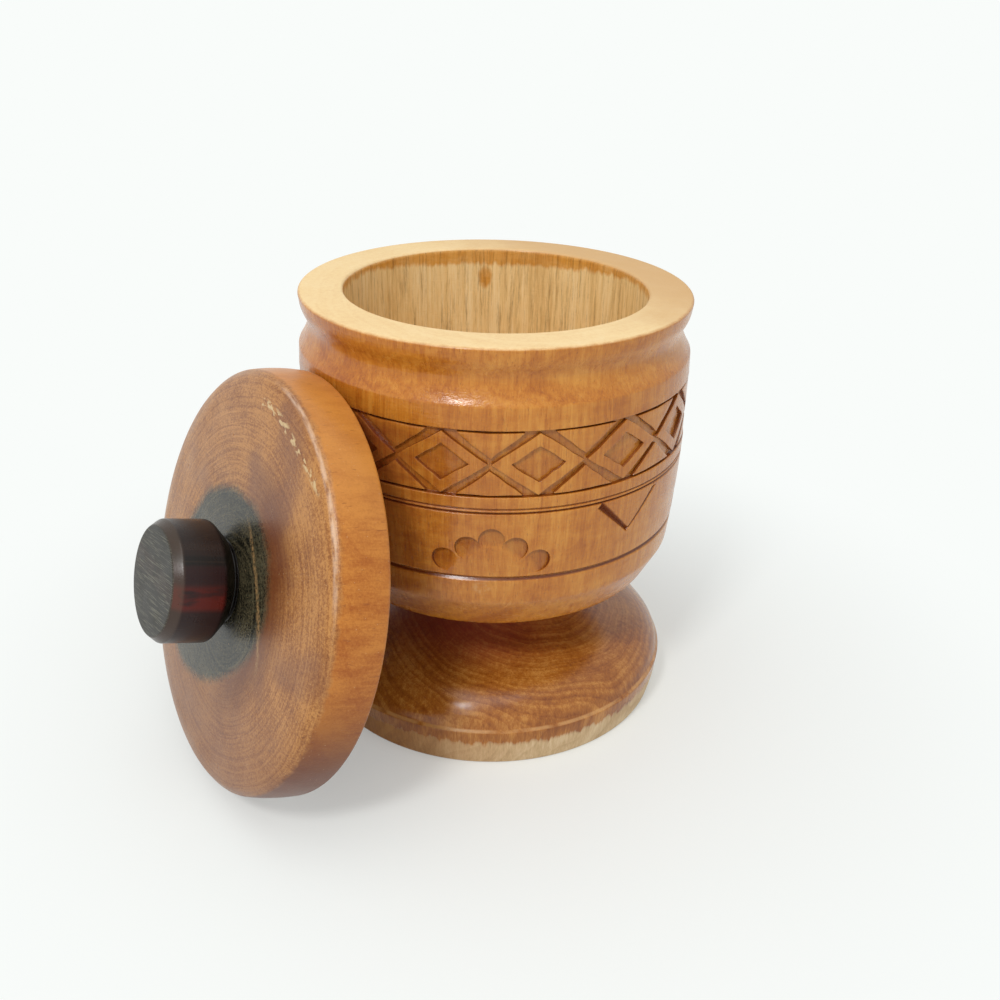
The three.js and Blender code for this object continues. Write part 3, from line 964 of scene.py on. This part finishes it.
# %% Shine of the jar
bare_bore = both(tree, in_bore, weigh(tree, 1.0, (amber, -0.7)))
is_bare = calc(tree, "MAXIMUM", bare_rim, bare_bore)
varnished = calc(tree, "SUBTRACT", 1.0, is_bare)
smudges = noise(tree, place, 0.15, 3.0)
roughness = weigh(tree, 0.1, (smudges, 0.26), (grain["Figure"], 0.06), (is_bare, 0.4))
turning = use(tree, lathe, along=height, spacing=0.5, place=place)["Lines"]
brushed = noise(tree, stretched(tree, place, 0.5, 0.5, 1.6), 1.1, 2.0)
relief_height = weigh(tree, 0.0, (grain["Height"], 0.5), (turning, 0.6), (brushed, 0.9))
coat = both(tree, varnished, 0.2)
finish_surface(tree, bowl, jar_finish, colour, roughness, relief_height, coat)

# %% [markdown]
# ## The foot's finish
# The foot's slope cuts the rings at a low angle, so they sweep round the stem as wide dark arcs. The stain
# is darker here than on the bowl. By the stem, under the bowl, a red painted shade is laid on. A pale line
# along the step above the side is a painted highlight. At the bottom of the side the brush stopped short,
# and the varnish ends in a jagged line over bare wood. A plain gradient would end it in a straight line,
# so the ragged edge is used once more.

# %% Finish of the foot
foot_finish, tree, place = new_finish("varnished foot wood")
place_x, place_y, height, distance = lathe_place(tree, place)
foot_pith = (12, -8, 40)
varnish_end = 7.0
painted_highlight_line = foot_step / mm + 0.5
from_foot_pith = vector(tree, "SUBTRACT", place, foot_pith)
grain = use(tree, wood, place=from_foot_pith, ring_width=1.5, wobble=2.4, ring_contrast=0.45)
mottled = noise(tree, stretched(tree, place, 1, 1, 2), 0.06, 3.0)
figure = weigh(tree, -0.4, (grain["Figure"], 1.0), (mottled, 0.8))
stained = tones(tree, figure, (131, 69, 17), (164, 99, 34), (194, 134, 63))
# Painted shade: a red brown by the stem, under the bowl and towards the lid's side.
painted_shade_by_stem = both(tree, ease(tree, distance, 44, 26), ease(tree, place_x, 34, -10))
stained = blend(tree, both(tree, painted_shade_by_stem, 0.65), stained, (146, 58, 62))
# Painted highlight: a pale line along the step above the side.
wear_and_painted_highlight = ease(tree, calc(tree, "ABSOLUTE", calc(tree, "SUBTRACT", height, painted_highlight_line)), 0.6, 0.15)
wear_and_painted_highlight = both(tree, wear_and_painted_highlight, ease(tree, noise(tree, place, 0.2, 3.0), 0.3, 0.55))
stained = blend(tree, both(tree, wear_and_painted_highlight, 0.5), stained, (216, 168, 110))
stained = blend(tree, both(tree, grain["Pores"], 0.4), stained, (84, 42, 18))
pale = tones(tree, grain["Figure"], (184, 152, 110), (206, 176, 134), (222, 198, 160))
pale = blend(tree, ease(tree, place_x, 20, -40), pale, (214, 164, 92), "MULTIPLY")
fibre_place = stretched(tree, place, 1, 1, 0.12)
jagged = use(
    tree, ragged, value=height, edge=varnish_end, softness=1.8, raggedness=2.6, grain=0.5, place=fibre_place
)["Mask"]
colour = blend(tree, jagged, pale, stained)
smudges = noise(tree, place, 0.12, 3.0)
roughness = weigh(tree, 0.4, (smudges, 0.28), (jagged, -0.36))
turning = use(tree, lathe, along=weigh(tree, distance, (height, -0.6)), spacing=0.5, place=place)["Lines"]
relief_height = weigh(tree, 0.0, (grain["Height"], 0.6), (turning, 0.7))
coat = both(tree, jagged, 0.12)
finish_surface(tree, foot, foot_finish, colour, roughness, relief_height, coat)

# %% [markdown]
# ## The lid's finish
# The lid is a slice across a trunk, so its face shows rings round the tree's heart and its side shows
# fibres as short dashes. The rings are centred on the tree's pith and the turning marks on the lid, so the
# two are made apart and then added. The side has a painted highlight at its top end and painted shade at
# its low one, and painted shade also darkens the low part of the face, among random smoky patches.

# %% Colour of the lid's face and side
lid_angles = lid_turn.to_euler()
lid_finish, tree, place = new_finish("varnished lid wood", lid_centre, lid_angles)
place_x, place_y, height, distance = lathe_place(tree, place)
lid_pith = (3.9, 5.2, 0)
from_lid_pith = vector(tree, "SUBTRACT", place, lid_pith)
grain = use(tree, wood, place=from_lid_pith, ring_width=1.2, wobble=1.2, ring_contrast=0.7)
turning = use(tree, lathe, along=distance, spacing=0.45, place=place)["Lines"]
grains = noise(tree, place, 1.7, 4.0, 0.8)
figure = weigh(tree, -0.8, (grain["Figure"], 0.45), (turning, 0.9), (grains, 1.55))
face = tones(tree, figure, (102, 56, 22), (145, 89, 40), (186, 130, 70))
smoky_and_painted_shade = ease(tree, noise(tree, stretched(tree, place, 1, 1, 0), 0.035, 2.0), 0.48, 0.62)
# Painted shade on the low part of the face, merged with the random smoky patches.
smoky_and_painted_shade = calc(tree, "MAXIMUM", smoky_and_painted_shade, ease(tree, place_x, 5, 45))
face = blend(tree, both(tree, smoky_and_painted_shade, 0.45), face, (114, 72, 56))
long_clouds = noise(tree, stretched(tree, place, 1, 1, 0.3), 0.35, 4.0)
side_grain = weigh(tree, -0.25, (grain["Figure"], 0.3), (long_clouds, 0.8), (grains, 0.8))
side = tones(tree, side_grain, (130, 58, 8), (162, 86, 18), (194, 122, 46))
# Painted highlight: the side is lighter at its top end.
side = blend(tree, both(tree, ease(tree, place_x, -22, -50), 0.5), side, (212, 146, 70))
# Painted shade: the side is darker at its low end.
side = blend(tree, both(tree, ease(tree, place_x, -6, 32), 0.92), side, (96, 42, 10))
dash_place = stretched(tree, place, 1, 1, 0.14)
dashes = ease(tree, noise(tree, dash_place, 1.5, 2.0, 0.6), 0.64, 0.74)
side = blend(tree, both(tree, dashes, 0.5), side, (124, 62, 26))
on_side = ease(tree, weigh(tree, height, (noise(tree, place, 0.4, 2.0), 2.0)), 14.4, 12.8)
colour = blend(tree, on_side, face, side)
print("the rings' centre is", round(math.hypot(*lid_pith), 1), "mm off the lid's")

# %% [markdown]
# The heart of the tree is a slate dark patch with a ragged edge, and it isn't quite round or quite in the
# middle. Beside it on one side lies a dark painted shadow and reflection of the knob. A fine pale crack runs
# along one side of the heart, chips of pale bark sit in an arc near the edge, and on one side the rounded
# edge has a pale line that is partly wear and partly a painted highlight. All could be painted in an image,
# but each is a plain form: an ellipse that slow noise pushes in and out, a narrow band round a parabola, and
# rings that noise breaks.

# %% The heart, the crack and the chips
heart_turn = math.radians(-47)
heart_centre = (3.4, -4.1, 0)
heart_size = (35.5, 27.2, 1e6)
inputs = {"Vector": vector(tree, "SUBTRACT", place, heart_centre), "Angle": -heart_turn}
heart_place = add(tree, "VectorRotate", inputs, rotation_type="Z_AXIS").outputs[0]
heart_reach = vector(tree, "LENGTH", vector(tree, "DIVIDE", heart_place, heart_size))
slow_push = calc(tree, "SUBTRACT", noise(tree, place, 0.045, 1.0), 0.5)
in_heart = use(
    tree, ragged, value=weigh(tree, 1.0, (heart_reach, -1.0), (slow_push, 0.2)), edge=0.0, softness=0.13,
    raggedness=0.05, grain=1.1, place=place,
)["Mask"]
slate = tones(tree, figure, (6, 6, 4), (20, 19, 13), (84, 76, 56))
scratches = use(tree, scratch, place=place, turn=math.radians(60), spacing=0.5)["Scratches"]
slate = blend(tree, both(tree, scratches, 0.3), slate, (88, 86, 66))
# Painted shadow and reflection of the knob, a dark ring beside the heart on one side.
painted_knob_shadow = both(tree, ease(tree, heart_reach, 1.4, 1.0), ease(tree, place_y, 0, 22))
colour = blend(tree, both(tree, painted_knob_shadow, 0.8), colour, (92, 42, 20))
colour = blend(tree, in_heart, colour, slate)
crack_shift, crack_slope, crack_bend = 22.8, 0.526, -0.0152
crack_middle, crack_reach = -4.0, 19
crack_y = weigh(tree, crack_shift, (place_x, crack_slope), (both(tree, place_x, place_x), crack_bend))
crack_y = weigh(tree, crack_y, (noise(tree, place, 0.35, 3.0), 2.4))
off_crack = calc(tree, "ABSOLUTE", calc(tree, "SUBTRACT", place_y, crack_y))
along_crack = calc(tree, "ABSOLUTE", calc(tree, "SUBTRACT", place_x, crack_middle))
crack = both(tree, ease(tree, off_crack, 1.5, 0.1), ease(tree, along_crack, crack_reach, 11))
crack = both(tree, crack, ease(tree, noise(tree, place, 1.3, 3.0, 0.7), 0.36, 0.62))
colour = blend(tree, both(tree, crack, 0.85), colour, (164, 128, 84))
chip_radius, rubbed_highlight_height, rim_path_radius = 49.2, 13.6, 48.0
round_rim = both(tree, calc(tree, "ARCTAN2", place_y, place_x), rim_path_radius)
rim_place = add(tree, "CombineXYZ", {"X": both(tree, round_rim, 0.2), "Y": height}).outputs[0]
# Partly wear and partly a painted highlight: a pale broken line along the rounded edge, on one side.
off_edge = calc(tree, "ABSOLUTE", calc(tree, "SUBTRACT", height, rubbed_highlight_height))
rubbed_and_painted_highlight = ease(tree, off_edge, 0.6, 0.1)
rubbed_and_painted_highlight = both(tree, rubbed_and_painted_highlight, ease(tree, noise(tree, rim_place, 1.1, 3.0), 0.3, 0.6))
rubbed_and_painted_highlight = both(tree, rubbed_and_painted_highlight, ease(tree, place_x, -8, -30), ease(tree, place_y, -4, 12))
colour = blend(tree, both(tree, rubbed_and_painted_highlight, 0.5), colour, (238, 206, 178))
off_arc = weigh(tree, -chip_radius, (distance, 1.0), (ease(tree, place_x, -48, -38), -3.4))
chip_ring = ease(tree, calc(tree, "ABSOLUTE", off_arc), 1.7, 0.5)
chip_part = both(tree, ease(tree, place_x, -38, -40.5), ease(tree, place_y, -3, -1))
chip_place = add(tree, "CombineXYZ", {"X": both(tree, round_rim, 0.45), "Y": distance}).outputs[0]
chips = both(tree, chip_ring, chip_part, ease(tree, noise(tree, chip_place, 0.8, 2.0, 0.6), 0.5, 0.58))
colour = blend(tree, both(tree, chips, 0.85), colour, (212, 184, 136))
specks = ease(tree, noise(tree, place, 1.6, 1.0), 0.74, 0.8)
colour = blend(tree, both(tree, specks, 0.5), colour, (206, 170, 126))
print("the heart reaches", heart_size[0], "by", heart_size[1], "mm")

# %% [markdown]
# The lid has a thin satin varnish. Its face is seen at a low angle, where any varnish turns into a mirror
# of the bright room, and that sheen alone makes the black heart look like slate. So the heart is painted
# nearly black and a little smoother than the rest, and the shader's own reflection does the work.

# %% Shine of the lid
smudges = noise(tree, place, 0.1, 3.0)
roughness = weigh(tree, 0.2, (smudges, 0.24), (in_heart, -0.08), (on_side, 0.04))
relief_height = weigh(tree, 0.0, (grain["Height"], 0.5), (turning, 0.9), (chips, 0.6), (scratches, -0.15))
finish_surface(tree, lid, lid_finish, colour, roughness, relief_height, coat=0.05, bump=0.1, gloss=0.37)

# %% [markdown]
# ## The knob's finish
# The knob is dark heartwood, nearly black. The top of its side has a painted sheen of warm brown black,
# the middle of its side has a purple tinge and below that a dark red streak. Sanding left straight
# scratches across its end, and they catch the light, so they are painted paler as painted highlights and
# also raised a little in the relief.

# %% Finish of the knob
knob_finish, tree, place = new_finish("dark heartwood", lid_centre, lid_angles)
place_x, place_y, height, distance = lathe_place(tree, place)
from_lid_pith = vector(tree, "SUBTRACT", place, lid_pith)
grain = use(tree, wood, place=from_lid_pith, ring_width=1.3, wobble=1.0)
colour = tones(tree, grain["Figure"], (12, 8, 6), (20, 14, 12), (34, 25, 19))
# Painted sheen: the top of the knob's side is a lighter warm brown.
painted_sheen_on_top = ease(tree, place_x, -11.5, -12.5)
colour = blend(tree, both(tree, painted_sheen_on_top, 0.6), colour, (38, 22, 18))
red_streaks = noise(tree, stretched(tree, place, 1, 1, 0.25), 0.3, 3.0)
chamfer_end = (knob_back + knob_back_chamfer) / mm
off_chamfer = ease(tree, height, chamfer_end - 1, chamfer_end + 1)
purple_part = both(tree, ease(tree, place_x, -10.5, -9.5), off_chamfer)
colour = blend(tree, both(tree, purple_part, 0.8), colour, (38, 13, 15))
red_part = both(tree, ease(tree, place_x, -6.5, -4), ease(tree, place_x, 1.5, -0.5), off_chamfer)
red_part = both(tree, red_part, ease(tree, red_streaks, 0.3, 0.5))
colour = blend(tree, both(tree, red_part, 0.8), colour, (94, 22, 13))
on_end = ease(tree, height, knob_front / mm - 0.5, knob_front / mm - 0.15)
# Sanding scratches on the end, painted paler as painted highlights.
sanding_and_painted_glints = use(tree, scratch, place=place, turn=math.radians(-100), spacing=0.26)["Scratches"]
colour = blend(tree, both(tree, on_end, 0.9), colour, (36, 33, 25))
colour = blend(tree, both(tree, on_end, sanding_and_painted_glints, 0.65), colour, (124, 121, 103))
near_edge = ease(tree, distance, knob_radius / mm - 2.4, knob_radius / mm - 1.4)
near_front = ease(tree, height, knob_front / mm - 3, knob_front / mm - 2)
colour = blend(tree, both(tree, near_edge, near_front, 0.4), colour, (84, 68, 54))
turning = use(tree, lathe, along=calc(tree, "ADD", height, distance), spacing=0.5, place=place)["Lines"]
roughness = weigh(tree, 0.2, (noise(tree, place, 0.2, 3.0), 0.2), (on_end, 0.12))
relief_height = weigh(tree, 0.0, (grain["Height"], 0.3), (turning, 0.5), (both(tree, on_end, sanding_and_painted_glints), 0.8))
finish_surface(tree, knob, knob_finish, colour, roughness, relief_height, coat=0.0, bump=0.1, gloss=0.35)

# %% [markdown]
# ## Fit to the frame
# Each new piece rides on the frame's body that moves it, and stands for the plain node of the frame.

# %% Ride on the frame
for piece, body, node, slot in (
    (bowl, "jar", "bowl", "jar_wood"),
    (foot, "jar", "pedestal_foot", "foot_wood"),
    (lid, "lid", "lid_plate", "lid_wood"),
    (knob, "lid", "knob", "dark_heartwood"),
):
    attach(piece, body)
    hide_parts(node)
    print(piece.name, "rides on", body, "and replaces", node)

# %% [markdown]
# ## Camera
# The camera stands in front of the jar and looks down on it, rolled by a degree and a half. Its lens is
# given as a focal length in pixels of a picture 1000 pixels wide, and turned into millimetres of film. It
# could be aimed by a constraint, but a chain of moves keeps the tilt, the roll and the distance apart.

# %% The camera
focal_pixels = 1100
picture_width = 1000
film_width = 36
view_target = Vector((2.7 * mm, 0, 57.9 * mm))
view_distance = 337.6 * mm
view_pitch = math.radians(26.53)
view_roll = math.radians(1.62)
bpy.ops.object.camera_add()
camera = bpy.context.active_object
camera.data.lens = focal_pixels / picture_width * film_width
camera.data.sensor_width = film_width
camera.data.clip_start = 0.01
camera.data.clip_end = 20
tilt = Matrix.Rotation(math.pi / 2 - view_pitch, 4, "X")
camera.matrix_world = (
    Matrix.Translation(view_target) @ tilt @ Matrix.Rotation(view_roll, 4, "Z")
    @ Matrix.Translation((0, 0, view_distance))
)
bpy.context.scene.camera = camera
print("the camera is at", [round(v / mm, 1) for v in camera.matrix_world.translation], "mm")

# %% [markdown]
# ## Table and light
# The jar stands on a plain pale table. Close by, the table is a matt white that takes the jar's shadow.
# Further out it turns into a plain bright ground, for camera and mirror rays only, so that the picture has
# no horizon and the ground throws no extra light on the jar. The world does the same behind it.

# %% The table
ground_colour = linear((249, 252, 250))
deselect_all()
bpy.ops.mesh.primitive_circle_add(vertices=64, radius=8, fill_type="NGON")
floor = name_piece("table_top")


def seen_directly(tree):
    path = tree.nodes.new("ShaderNodeLightPath").outputs
    seen = calc(tree, "MAXIMUM", path["Is Camera Ray"], path["Is Glossy Ray"])
    return calc(tree, "MAXIMUM", seen, path["Is Transmission Ray"])


table_finish = bpy.data.materials.new("pale table")
table_finish.use_nodes = True
tree = table_finish.node_tree
here = tree.nodes.new("ShaderNodeTexCoord").outputs["Object"]
shadow_reach, ground_start = 0.06, 0.2
far = ease(tree, vector(tree, "LENGTH", here), shadow_reach, ground_start)
far = weigh(tree, 0.3, (far, 0.7))
matt = tree.nodes["Principled BSDF"]
matt.inputs["Base Color"].default_value = linear((240, 243, 240))
matt.inputs["Roughness"].default_value = 0.6
glow = add(tree, "Emission", {"Color": ground_colour, "Strength": 1.0}).outputs[0]
shown = both(tree, far, seen_directly(tree))
mixed = add(tree, "MixShader", {0: shown, 1: matt.outputs[0], 2: glow}).outputs[0]
feed(tree, tree.nodes["Material Output"].inputs["Surface"], mixed)
floor.data.materials.append(table_finish)
print("the table is", round(floor.dimensions.x, 1), "m across")

# %% [markdown]
# The light is that of a small studio. A bright world stands for white walls all round, a wide soft lamp
# hangs overhead, and a smaller one at the left of the camera draws the white highlights on the shoulder.

# %% The lamps
scene = bpy.context.scene
scene.view_settings.view_transform = "Standard"
world = bpy.data.worlds.new("studio")
scene.world = world
world.use_nodes = True
tree = world.node_tree
walls = tree.nodes["Background"]
walls.inputs["Color"].default_value = (1, 1, 1, 1)
walls.inputs["Strength"].default_value = 0.56
backdrop = add(tree, "Background", {"Color": ground_colour, "Strength": 1.0}).outputs[0]
mixed = add(tree, "MixShader", {0: seen_directly(tree), 1: walls.outputs[0], 2: backdrop}).outputs[0]
feed(tree, tree.nodes["World Output"].inputs["Surface"], mixed)

lamp_aim_height = 60 * mm


def softbox(name, size, power, azimuth, elevation, away):
    deselect_all()
    bpy.ops.object.light_add(type="AREA")
    lamp = bpy.context.active_object
    lamp.name = name
    lamp.data.shape = "SQUARE"
    lamp.data.size = size
    lamp.data.energy = power
    swing = Matrix.Rotation(math.radians(azimuth), 4, "Z")
    swing = swing @ Matrix.Rotation(math.radians(90 - elevation), 4, "X")
    aim = Matrix.Translation((0, 0, lamp_aim_height))
    lamp.matrix_world = aim @ swing @ Matrix.Translation((0, 0, away))
    print(name, "shines from", [round(v, 2) for v in lamp.matrix_world.translation], "m")


softbox("overhead_lamp", size=1.0, power=4.8, azimuth=-10, elevation=75, away=1.5)
softbox("left_lamp", size=0.14, power=2.9, azimuth=-22, elevation=46, away=0.9)
